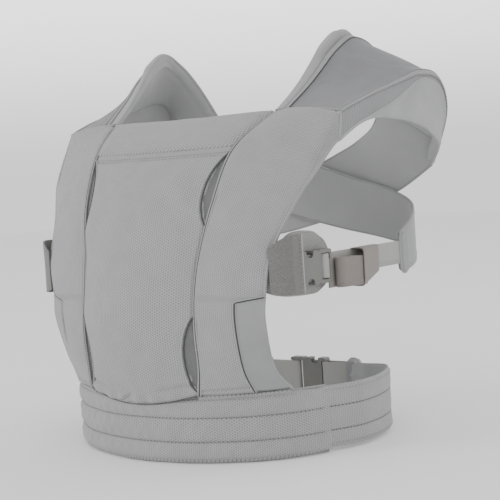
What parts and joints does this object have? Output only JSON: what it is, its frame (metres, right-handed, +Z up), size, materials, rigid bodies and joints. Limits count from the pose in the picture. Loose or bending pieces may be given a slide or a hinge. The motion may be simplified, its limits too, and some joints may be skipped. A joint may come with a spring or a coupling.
{
  "type": "soft baby carrier",
  "caption": "Soft front baby carrier with a curved seat panel, fold-down head support, quilted waistband and padded straps crossing at the back with side-release buckles.",
  "frame": {"origin": "middle of the box that holds the carrier, on the plane its waistband stands on", "axes": "+Z up, -Y the baby's side and front, +X the wearer's left"},
  "size_m": [0.4018, 0.3769, 0.4317],
  "materials": {
    "knit": "matte honeycomb knit",
    "jersey": "matte brushed jersey",
    "mesh_dark": "open spacer mesh",
    "mesh_speckled": "speckled soft mesh",
    "lining": "soft smooth lining",
    "foam": "open cell foam",
    "webbing": "woven satin webbing",
    "taupe_elastic": "ribbed elastic",
    "buckle_plastic": "satin moulded plastic"
  },
  "bodies": {
    "carrier": {"front_panel": "knit", "panel_lining": "lining", "mesh_inset_upper_left": "mesh_dark", "mesh_inset_upper_right": "mesh_dark", "mesh_inset_lower_left": "mesh_dark", "mesh_inset_lower_right": "mesh_dark", "side_band_left": "knit", "side_band_right": "knit", "band_lining_left": "lining", "band_lining_right": "lining", "side_wedge_left": "jersey", "side_wedge_right": "jersey", "shoulder_cover_left": "jersey", "shoulder_cover_right": "jersey", "shoulder_foam_left": "foam", "shoulder_foam_right": "foam", "shoulder_lining_left": "lining", "shoulder_lining_right": "lining", "back_strap_left": "jersey", "back_strap_right": "jersey", "waistband_cover": "knit", "waistband_foam": "foam", "waistband_lining": "lining", "waistband_wing_left": "jersey", "waistband_wing_right": "jersey", "buckle_flap_left": "mesh_speckled", "buckle_flap_right": "mesh_speckled", "buckle_sleeve_left": "mesh_speckled", "buckle_sleeve_right": "mesh_speckled", "anchor_loop_left": "webbing", "anchor_loop_right": "webbing", "side_socket_left": "buckle_plastic", "side_socket_right": "buckle_plastic", "waist_anchor_loop": "webbing", "waist_socket": "buckle_plastic"},
    "head_support": {"head_support_cover": "knit", "head_support_foam": "foam", "head_support_lining": "lining"},
    "waist_strap_end": {"waist_plug": "buckle_plastic", "waist_webbing": "webbing", "waist_webbing_roll": "taupe_elastic"},
    "waist_latch_upper": {"waist_latch_upper": "buckle_plastic"},
    "waist_latch_lower": {"waist_latch_lower": "buckle_plastic"},
    "waist_keeper": {"waist_web_keeper": "taupe_elastic"},
    "strap_end_left": {"side_plug_left": "buckle_plastic", "side_webbing_left": "webbing", "webbing_roll_left": "taupe_elastic", "strap_end_tab_left": "jersey"},
    "latch_upper_left": {"side_latch_upper_left": "buckle_plastic"},
    "latch_lower_left": {"side_latch_lower_left": "buckle_plastic"},
    "keeper_left": {"web_keeper_left": "taupe_elastic"},
    "strap_end_right": {"side_plug_right": "buckle_plastic", "side_webbing_right": "webbing", "webbing_roll_right": "taupe_elastic", "strap_end_tab_right": "jersey"},
    "latch_upper_right": {"side_latch_upper_right": "buckle_plastic"},
    "latch_lower_right": {"side_latch_lower_right": "buckle_plastic"},
    "keeper_right": {"web_keeper_right": "taupe_elastic"}
  },
  "joints": [
    {"name": "head_support_fold", "type": "hinge", "parent": "carrier", "child": "head_support", "pos_m": [0, -0.1228, 0.312], "axis": [1, 0, 0], "range_deg": [0, 190]},
    {"name": "side_release_left", "type": "slide", "parent": "carrier", "child": "strap_end_left", "axis": [0.0872, 0.9962, 0], "range_m": [0, 0.024]},
    {"name": "latch_upper_left_squeeze", "type": "hinge", "parent": "strap_end_left", "child": "latch_upper_left", "pos_m": [0.16377, -0.07739, 0.1988], "axis": [0.9962, -0.0872, 0], "range_deg": [0, 6], "stiffness_Nm_per_rad": 0.3},
    {"name": "latch_lower_left_squeeze", "type": "hinge", "parent": "strap_end_left", "child": "latch_lower_left", "pos_m": [0.16377, -0.07739, 0.1792], "axis": [-0.9962, 0.0872, 0], "range_deg": [0, 6], "stiffness_Nm_per_rad": 0.3},
    {"name": "keeper_slide_left", "type": "slide", "parent": "strap_end_left", "child": "keeper_left", "axis": [0.0872, 0.9962, 0], "range_m": [0, 0.048]},
    {"name": "side_release_right", "type": "slide", "parent": "carrier", "child": "strap_end_right", "axis": [-0.0872, 0.9962, 0], "range_m": [0, 0.024]},
    {"name": "latch_upper_right_squeeze", "type": "hinge", "parent": "strap_end_right", "child": "latch_upper_right", "pos_m": [-0.16377, -0.07739, 0.1988], "axis": [0.9962, 0.0872, 0], "range_deg": [0, 6], "stiffness_Nm_per_rad": 0.3},
    {"name": "latch_lower_right_squeeze", "type": "hinge", "parent": "strap_end_right", "child": "latch_lower_right", "pos_m": [-0.16377, -0.07739, 0.1792], "axis": [-0.9962, -0.0872, 0], "range_deg": [0, 6], "stiffness_Nm_per_rad": 0.3},
    {"name": "keeper_slide_right", "type": "slide", "parent": "strap_end_right", "child": "keeper_right", "axis": [-0.0872, 0.9962, 0], "range_m": [0, 0.048]},
    {"name": "waist_release", "type": "slide", "parent": "carrier", "child": "waist_strap_end", "axis": [-1, 0, 0], "range_m": [0, 0.024]},
    {"name": "waist_latch_upper_squeeze", "type": "hinge", "parent": "waist_strap_end", "child": "waist_latch_upper", "pos_m": [0.0066, 0.1292, 0.0513], "axis": [0, 1, 0], "range_deg": [0, 6], "stiffness_Nm_per_rad": 0.3},
    {"name": "waist_latch_lower_squeeze", "type": "hinge", "parent": "waist_strap_end", "child": "waist_latch_lower", "pos_m": [0.0066, 0.1292, 0.0187], "axis": [0, -1, 0], "range_deg": [0, 6], "stiffness_Nm_per_rad": 0.3},
    {"name": "waist_keeper_slide", "type": "slide", "parent": "waist_strap_end", "child": "waist_keeper", "axis": [-1, 0, 0], "range_m": [0, 0.01]}
  ],
  "couplings": [
    {"joint": "latch_lower_left_squeeze", "follows": "latch_upper_left_squeeze", "ratio": 1},
    {"joint": "latch_lower_right_squeeze", "follows": "latch_upper_right_squeeze", "ratio": 1},
    {"joint": "waist_latch_lower_squeeze", "follows": "waist_latch_upper_squeeze", "ratio": 1}
  ]
}
